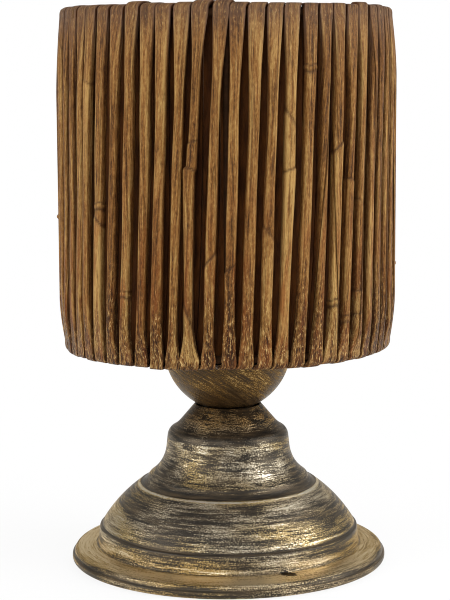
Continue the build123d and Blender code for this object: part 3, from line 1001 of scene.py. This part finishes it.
def wound_path(turns):
    """Stations of whole turns, one after another, with a column for each value."""
    values = route(turns[:, None]) | build(turns[:, None])
    return {name: laid(parts, len(turns)) for name, parts in values.items()}


print("stations in a turn:", len(wound_path(np.arange(1))["angle"]))

# %% [markdown]
# ## The section of a strip
# Across the strip runs a closed curve between a circle and a box: wide and thin where the leaf is
# flat, nearly square where it is rolled and pressed. It starts at the leaf's edge, a little proud,
# and ends a little lower on the other side of that edge, so the seam is a real step that catches
# light. A twisted leaf has a seam that winds slowly round the strip. Where one leaf ends on the
# next, a slanting step crosses the strip. A bump map could fake seam and steps, but they show on
# the outline and in the shadows, so they are in the mesh.

# %% Place a section on the path
CREASE = 0.52
SEAM_START = 1.7


def squared(wave, power):
    """Sine or cosine with its size raised to a power: 1 draws a circle, less draws it boxier."""
    return np.sign(wave) * np.abs(wave) ** power


def placed(path, from_wire, across):
    """Points in millimetres: out from the wire's middle, and across to the strip's own right. The
    boxed cosine of the facing takes them outwards, and its boxed sine upwards."""
    angle = np.radians(path["angle"])
    facing = np.radians(path["facing"])
    ahead, up = squared(np.cos(facing), CREASE), squared(np.sin(facing), CREASE)
    reach = RING_RADIUS + from_wire * ahead
    x = reach * np.sin(angle) + across * np.cos(angle)
    y = -reach * np.cos(angle) + across * np.sin(angle)
    z = path["height"] + from_wire * up
    return np.stack([x, y, z], axis=-1)


def length_and_seam(path, number):
    """Length along the strip at each station, and the angle of the leaf's edge in the section: a
    start that differs from strip to strip, plus the twist times each step of the way."""
    middle = placed(path, WRAP_RADIUS + path["depth"] / 2, 0.0)[:, 0]
    step = np.append(0.0, np.linalg.norm(np.diff(middle, axis=0), axis=1))[:, None]
    seam = radians(90.0) + number * SEAM_START + np.cumsum(twist[path["turn"]] * step, axis=0)
    return np.cumsum(step, axis=0), seam


first_length, first_seam = length_and_seam(wound_path(np.arange(TURNS_PER_STRIP)), 0)
first_turn = np.degrees(first_seam[-1, 0] - first_seam[0, 0])
print("the first strip is", first_length[-1, 0].round(), "mm long")
print("and its seam turns by", first_turn.round(), "degrees")

# %% Joints and knots
KNOT_SPREAD = 0.9
# Dark rings of a knot: height above its middle, width
KNOT_RINGS = [(1.0, 0.35), (-1.3, 0.65)]
KNOT_WAVER = 0.3
KNOT_WAVE_RATE = 1.6
STEP_SOFTNESS = 0.35
STEP_FADE = 22.0
SLIP_FADE = 45.0
JOINT_LINE = 0.3
JOINT_LINE_WIDTH = 0.45


def bell(distance, width):
    """Bell curve: e to the power of minus the square of distance over width."""
    return np.exp(-((distance / width) ** 2))


def joints_and_knots(turn, rise, lateral):
    """How much fuller the strip is, how far it slips sideways below each joint, the dark line of
    joint or knot, and how much lighter the next leaf is. A joint's line runs aslant, and the
    fuller end below it thins out again."""
    knot_place = rise - knot_height[turn]
    fuller = knot_size[turn] * bell(knot_place, KNOT_SPREAD)
    ring = knot_place + KNOT_WAVER * np.sin(KNOT_WAVE_RATE * lateral + turn)
    line = sum(bell(ring - height, width) for height, width in KNOT_RINGS)
    line = 0.95 * (knot_size[turn] > 0.0) * line
    slip = np.zeros_like(lateral)
    lighter = np.zeros_like(lateral)
    for joint in range(JOINTS):
        step = joint_step[turn, joint]
        slant = joint_slant[turn, joint]
        above = rise - joint_height[turn, joint]
        above = (above - slant * lateral) / np.sqrt(1.0 + slant**2)
        below = 0.5 - 0.5 * np.tanh(above / STEP_SOFTNESS)
        fuller = fuller + step * below * np.exp(np.minimum(above, 0.0) / STEP_FADE)
        shift = joint_slip[turn, joint] * below
        slip = slip + shift * np.exp(np.minimum(above, 0.0) / SLIP_FADE)
        line = line + np.minimum(9.0 * step, 1.0) * bell(above - JOINT_LINE, JOINT_LINE_WIDTH)
        lighter = lighter + np.sign(step) * joint_tone[turn, joint] * below
    return fuller, slip, line, lighter


print("a knot's bulge falls to", bell(KNOT_SPREAD, KNOT_SPREAD).round(2), "in", KNOT_SPREAD, "mm")

# %% Stain and painted light of a strip
SEAM_WIDTH = 0.020
SEAM_DARK = 0.7
# Painted light: a highlight on the ridges beside the back, how much less painted shade the back
# takes, and the share of painted flank shade on a flat strip
EDGE_HIGHLIGHT = 0.8
BACK_OPEN = 0.75
FLAT_FLANK = 0.4


def strip_stain_and_shade(path, around, angle, roundness, line, lighter):
    """Four values at each point: how light, how much painted shade or sheen, how marked and how
    crinkled. The ridges beside the back get a painted highlight, the back takes less painted
    shade, and the marks are joints and knots, the seam, and flanks darkened by painted shade
    and pooled varnish."""
    outward = np.clip(np.sin(angle), 0.0, 1.0)
    edge_highlight = EDGE_HIGHLIGHT * outward * np.abs(np.sin(2.0 * angle)) ** 4
    from_seam = np.minimum(around, 1.0 - around)
    seam_line = SEAM_DARK * roundness * bell(from_seam, SEAM_WIDTH)
    flank = np.abs(np.cos(angle)) ** 4 * mixed(FLAT_FLANK, 1.0, roundness)
    values = np.broadcast_arrays(
        path["tone"] + edge_highlight + lighter,
        path["inside"] * (1.0 - BACK_OPEN * outward),
        np.clip(line + seam_line + flank_stain_and_shade[path["turn"]] * flank, 0.0, 1.0),
        np.clip(path["crinkle"], 0.0, 1.0),
    )
    return np.stack(values, axis=-1)


print("flanks are stained from", flank_stain_and_shade.min().round(2), "to", flank_stain_and_shade.max().round(2))

# %% Surface of a strip
COLUMNS = 38
SEAM_STEP = 0.15
FLAT_POWER = 0.30
ROLLED_POWER = 0.80
SEAM_CROWDING = 0.045
RIDGES = [
    # height, half waves round the section, length along the strip, phase from strip to strip
    (0.020, 6.0, 37.0, 1.0),
    (0.014, 15.0, 19.0, 3.0),
]
LEAF_ROUND = 11.5
LEAF_SEED = 17.3


def round_share(across, out):
    """Share of the way round the section at each column: the steps from column to column, added
    up and divided by their sum, so that the leaf's pattern isn't squeezed at the corners."""
    step = np.hypot(np.diff(across, axis=1), np.diff(out, axis=1))
    travelled = np.hstack([np.zeros((len(step), 1)), np.cumsum(step, axis=1)])
    return travelled / travelled[:, -1:]


def ridged(around, along, number):
    """Low ridges that wind along the strip: a sum of sines of the way round and the way along."""
    return sum(
        height * np.sin(waves * np.pi * around + along / length + phase * number)
        for height, waves, length, phase in RIDGES
    )


def strip_grid(path, number):
    """Points of a strip in metres, with its leaf coordinates and its values of tone, painted light,
    marks and crinkle. A section point lies half its boxed cosine times the width across, and half
    of 1 plus its boxed sine times the depth out from where the strip lies on the wire. The seam's
    step, ridges and joints swell it."""
    along, seam = length_and_seam(path, number)
    around = np.linspace(0.0, 1.0, COLUMNS)[None, :]
    around = around - SEAM_CROWDING * np.sin(2.0 * np.pi * around)
    angle = seam - 2.0 * np.pi * around
    cosine, sine = np.cos(angle), np.sin(angle)
    width, depth = path["width"], path["depth"]
    roundness = np.clip((depth - FLAT) / (ROLLED_DEPTH - FLAT), 0.0, 1.0)
    power = mixed(FLAT_POWER, ROLLED_POWER, roundness)
    marks = joints_and_knots(path["turn"], path["rise"], 0.5 * cosine * width)
    fuller, slip, line, lighter = marks
    seam_step = SEAM_STEP * (0.5 - around) * roundness
    swell = 1.0 + seam_step + ridged(around, along, number) + fuller
    across = 0.5 * squared(cosine, power) * swell * width + slip
    out = (0.5 + 0.5 * squared(sine, power) * swell) * depth
    points = placed(path, WRAP_RADIUS + out + path["stand_off"], across) * MM
    round_leaf = LEAF_ROUND * round_share(across, out)
    leaf = np.broadcast_arrays(round_leaf, along, LEAF_SEED * path["turn"])
    stain_and_shade = strip_stain_and_shade(path, around, angle, roundness, line, lighter)
    return points, np.stack(leaf, axis=-1), stain_and_shade


print("points in a ring of the strip:", COLUMNS)

# %% [markdown]
# ## Winding the shade
# A winder works one strip at a time and joins the next to it, so each strip is a piece of its own
# here too. A loop makes them: path, section and stain from the helpers above, one mesh for four
# turns. All fifteen share one finish, because what differs between them is in the mesh.

# %% Wind the shade
for number in range(TURNS // TURNS_PER_STRIP):
    turns = number * TURNS_PER_STRIP + np.arange(TURNS_PER_STRIP)
    points, leaf, stain_and_shade = strip_grid(wound_path(turns), number)
    strip = make_piece(f"leaf_strip_{number + 1:02d}", points, False, cane)
    keep_values(strip, "leaf", "FLOAT_VECTOR", "vector", leaf)
    keep_values(strip, "stain_and_shade", "FLOAT_COLOR", "color", stain_and_shade)
    stand_for(strip, f"cane_strip_{number + 1:02d}", "shade")
print("last strip:", len(strip.data.polygons), "faces")

# %% [markdown]
# ## Small metal, wax and wick
# The wire frame, the bolt with its washers and the tealight keep their CAD meshes: their shapes are
# right, and they only need a finish. A flat colour would look like plastic. Drawn wire has a dull
# brown-black lacquer, zinc plate a faint cloudy bloom, and wax lets some light in, so each gets a
# little noise.

# %% Wire, zinc and foil
def plain_metal(name, light, dark, size, rough, metallic, specular):
    """Metal with cloudy patches: noise on the object's own place blends two colours."""
    material, tree, shader = new_finish(name)
    place = object_place(tree)
    patches = noise(tree, stretch(tree, place, (size, size, size)), 4.0, 0.6)
    scratches = noise(tree, stretch(tree, place, (size * 9.0, size * 9.0, size * 2.0)), 2.0, 0.6)
    clouded = tint(tree, remap(tree, patches, 0.38, 0.66), dark, light)
    tree.links.new(clouded, shader.inputs["Base Color"])
    dulled = remap(tree, scratches, 0.3, 0.7, rough + 0.1, rough - 0.08)
    tree.links.new(dulled, shader.inputs["Roughness"])
    tree.links.new(bump(tree, scratches, 0.05 * MM, 0.6), shader.inputs["Normal"])
    shader.inputs["Metallic"].default_value = metallic
    shader.inputs["Specular IOR Level"].default_value = specular
    return material


WIRE_COLOURS = (colour(0.042, 0.017, 0.006), colour(0.022, 0.009, 0.003))
ZINC_COLOURS = (colour(0.66, 0.66, 0.64), colour(0.42, 0.42, 0.42))
FOIL_COLOURS = (colour(0.86, 0.86, 0.86), colour(0.68, 0.68, 0.69))
DULL = {"metallic": 0.0, "specular": 0.1}
BRIGHT = {"metallic": 1.0, "specular": 0.5}
wire = plain_metal("black_wire", *WIRE_COLOURS, size=260.0, rough=0.80, **DULL)
zinc = plain_metal("zinc_plate", *ZINC_COLOURS, size=300.0, rough=0.38, **BRIGHT)
foil = plain_metal("cup_foil", *FOIL_COLOURS, size=220.0, rough=0.26, **BRIGHT)
print("small metal finishes:", wire.name, zinc.name, foil.name)

# %% Wax and wick
def wax_finish():
    """White wax: light scatters inside it, and slow noise makes it cloudy."""
    material, tree, shader = new_finish("candle_wax")
    clouds = noise(tree, stretch(tree, object_place(tree), (160.0, 160.0, 160.0)), 3.0, 0.6)
    cream, white = colour(0.80, 0.77, 0.70), colour(0.90, 0.88, 0.83)
    milk = tint(tree, remap(tree, clouds, 0.35, 0.65), cream, white)
    tree.links.new(milk, shader.inputs["Base Color"])
    tree.links.new(remap(tree, clouds, 0.3, 0.7, 0.45, 0.30), shader.inputs["Roughness"])
    tree.links.new(bump(tree, clouds, 0.4 * MM, 0.5), shader.inputs["Normal"])
    shader.inputs["Subsurface Weight"].default_value = 0.4
    shader.inputs["Subsurface Radius"].default_value = (4.0 * MM, 3.0 * MM, 2.0 * MM)
    return material


def wick_finish():
    """Cotton cord: fine noise, closer along the cord than across, blends shadow and fluff."""
    material, tree, shader = new_finish("wick_cotton")
    strands = noise(tree, stretch(tree, object_place(tree), (900.0, 900.0, 1600.0)), 3.0, 0.6)
    shadow, fluff = colour(0.55, 0.50, 0.42), colour(0.84, 0.81, 0.74)
    braid = tint(tree, remap(tree, strands, 0.35, 0.65), shadow, fluff)
    tree.links.new(braid, shader.inputs["Base Color"])
    tree.links.new(bump(tree, strands, 0.2 * MM, 0.8), shader.inputs["Normal"])
    shader.inputs["Roughness"].default_value = 0.9
    return material


wax = wax_finish()
cotton = wick_finish()
print("candle finishes:", wax.name, cotton.name)

# %% Dress the CAD nodes
finish_of_node = {
    "bowl_washer": zinc,
    "tie_bolt": zinc,
    "clamp_disc": zinc,
    "spring_washer": zinc,
    "tie_nut": zinc,
    "shade_bottom_ring": wire,
    "shade_top_ring": wire,
    "carrier_ring": wire,
    "tealight_cup": foil,
    "tealight_wax": wax,
    "wick_tab": zinc,
    "wick": cotton,
}
for number in range(1, 4):
    finish_of_node[f"carrier_arm_{number}"] = wire
    finish_of_node[f"shade_upright_{number}"] = wire
for node, finish in finish_of_node.items():
    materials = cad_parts[node].data.materials
    materials.clear()
    materials.append(finish)
print("finished CAD nodes:", len(finish_of_node))

# %% [markdown]
# ## The floor
# The picture is a cut-out on white, so the floor is plain white to the camera and still takes a
# soft shadow. A very bright floor would be white too, but it would light the lamp from below. This
# one is paper that glows only for rays that come from the camera or from mirroring metal, a little
# less close to the foot, where the shadow lies.

# %% White paper
FLOOR_RADIUS = 3.0
FLOOR_DROP = 0.2 * MM
FLOOR_CORNERS = 96
SHADOW_FROM, SHADOW_TO = 0.06, 0.30
PAPER = colour(0.88, 0.88, 0.88)
WHITE = colour(1.0, 1.0, 1.0)


def seen_rays(tree):
    """1 for rays from the camera, in mirrors and through glass, 0 for light that is scattered."""
    rays = put(tree, "ShaderNodeLightPath", {}).outputs
    return largest(
        tree, rays["Is Camera Ray"], rays["Is Glossy Ray"], rays["Is Transmission Ray"]
    )


def paper_finish():
    """Paper mixed with a white glow. The glow's share rises with the distance from the foot."""
    material, tree, shader = new_finish("white_paper")
    shader.inputs["Base Color"].default_value = PAPER
    shader.inputs["Roughness"].default_value = 0.9
    glow = put(tree, "ShaderNodeEmission", {"Color": WHITE, "Strength": 1.0})
    distance = vector_calc(tree, "LENGTH", object_place(tree))["Value"]
    fading = remap(tree, distance, SHADOW_FROM, SHADOW_TO, 0.85, 1.0)
    share = calc(tree, "MULTIPLY", seen_rays(tree), fading)
    values = {0: share, 1: shader.outputs[0], 2: glow.outputs[0]}
    both = put(tree, "ShaderNodeMixShader", values)
    tree.links.new(both.outputs[0], tree.nodes["Material Output"].inputs["Surface"])
    return material


floor_angles = np.linspace(0.0, 2.0 * np.pi, FLOOR_CORNERS, endpoint=False)
floor_edge = arc_points(FLOOR_RADIUS, (0.0, 0.0), floor_angles)
floor_points = np.column_stack([floor_edge, np.full(FLOOR_CORNERS, -FLOOR_DROP)])
floor_mesh = bpy.data.meshes.new("floor")
floor_mesh.from_pydata(floor_points.tolist(), [], [list(range(FLOOR_CORNERS))])
floor_mesh.materials.append(paper_finish())
floor = bpy.data.objects.new("floor", floor_mesh)
bpy.context.scene.collection.objects.link(floor)
floor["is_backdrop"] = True
print("floor:", FLOOR_CORNERS, "corners,", 2.0 * FLOOR_RADIUS, "m across")

# %% [markdown]
# ## The room and the light
# Metal shows what stands round it, so the light matters as much as the finish. The stand shows a
# bright patch on either side and a darker stretch between them, so a large soft box stands left
# and right and only a weak one in front. Another lights the back, which the photograph doesn't
# show, and is kept out of the mirroring. A picture of a studio could do for the rest, but a plain
# world will: white to the camera, and to the metal a dim room with a lighter ceiling and a pale
# backdrop.

# %% The room
WORLD_LIGHT = 0.31
scene = bpy.context.scene
scene.view_settings.view_transform = "Standard"
# A narrow pixel filter keeps the fine streaks crisp
scene.cycles.filter_width = 1.0


def studio_world():
    """World whose strength is 1 to the camera, WORLD_LIGHT to scattered light, and to mirrors the
    larger of a ceiling, which brightens upwards, and a backdrop, which brightens to the back."""
    world = bpy.data.worlds.new("studio")
    world.use_nodes = True
    tree = world.node_tree
    background = tree.nodes["Background"]
    background.inputs["Color"].default_value = WHITE
    rays = put(tree, "ShaderNodeLightPath", {}).outputs
    toward = put(tree, "ShaderNodeTexCoord", {}).outputs["Generated"]
    heading = put(tree, "ShaderNodeSeparateXYZ", {"Vector": toward}).outputs
    ceiling = remap(tree, heading["Z"], 0.25, 0.9, 0.12, 0.5)
    backdrop = remap(tree, heading["Y"], 0.35, 0.85, 0.0, 0.5)
    room = largest(tree, ceiling, backdrop)
    mirrored = calc(tree, "MULTIPLY", rays["Is Glossy Ray"], room)
    scattered = calc(tree, "MULTIPLY", rays["Is Diffuse Ray"], WORLD_LIGHT)
    clear = largest(tree, rays["Is Camera Ray"], rays["Is Transmission Ray"])
    strength = largest(tree, clear, mirrored, scattered)
    tree.links.new(strength, background.inputs["Strength"])
    return world


scene.world = studio_world()
print("world:", scene.world.name, "with", len(scene.world.node_tree.nodes), "nodes")

# %% Soft boxes
LAMP_TARGET = (0.0, 0.0, 0.10)
SOFT_BOXES = [
    # name, place and side in metres, power in watts
    ("soft_box_front", (-0.25, -1.10, 0.68), 0.50, 5.0),
    ("soft_box_left", (-0.95, -0.40, 0.50), 0.70, 7.5),
    ("soft_box_right", (0.95, -0.25, 0.55), 0.90, 12.5),
    ("soft_box_back", (0.20, 1.10, 0.70), 0.90, 8.0),
]


def soft_box(name, place, side, power):
    """Square area lamp at a place in metres that looks at the lamp's middle."""
    light = bpy.data.lights.new(name, "AREA")
    light.shape = "RECTANGLE"
    light.size = side
    light.size_y = side
    light.energy = power
    box = bpy.data.objects.new(name, light)
    look = Vector(place) - Vector(LAMP_TARGET)
    turned = look.to_track_quat("Z", "Y").to_matrix().to_4x4()
    box.matrix_world = Matrix.Translation(place) @ turned
    scene.collection.objects.link(box)
    return box


lamps = {row[0]: soft_box(*row) for row in SOFT_BOXES}
lamps["soft_box_back"].visible_glossy = False
print("soft boxes:", list(lamps))

# %% [markdown]
# ## The camera
# The photograph was taken from a little above, with a long lens. The rings of the base and the
# shade show as ovals in it, and their shapes give the camera's height and tilt. A camera could be
# aimed with a Track To constraint, but these measured values are simply set.

# %% Camera, at the photograph's viewing angle, in millimetres and degrees
CAMERA_SIDE = -0.9
CAMERA_BACK = 669.1
CAMERA_HEIGHT = 189.4
CAMERA_DOWN = 7.4
CAMERA_ROLL = -0.3
LENS = 102.94
SENSOR = 36.0
camera_data = bpy.data.cameras.new("camera")
camera_data.lens = LENS
camera_data.sensor_width = SENSOR
camera = bpy.data.objects.new("camera", camera_data)
stand_point = Matrix.Translation((CAMERA_SIDE * MM, -CAMERA_BACK * MM, CAMERA_HEIGHT * MM))
tip = Matrix.Rotation(radians(90.0 - CAMERA_DOWN), 4, "X")
camera.matrix_world = stand_point @ tip @ Matrix.Rotation(radians(CAMERA_ROLL), 4, "Z")
scene.collection.objects.link(camera)
scene.camera = camera
print("camera looks down by", CAMERA_DOWN, "degrees from", CAMERA_BACK, "mm")

# %% [markdown]
# ## Measure and finish
# The dressed lamp should fill the same box as the CAD model, give or take a knot or a lifted fold.
# Both boxes are gathered in one dictionary of corners.

# %% Measure and finish
visual_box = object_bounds()
boxes = {"cad": cad_box, "visual": visual_box}
boxes = {name: [list(corner) for corner in box] for name, box in boxes.items()}
print("visual box in mm:", [[round(value / MM, 2) for value in corner] for corner in visual_box])
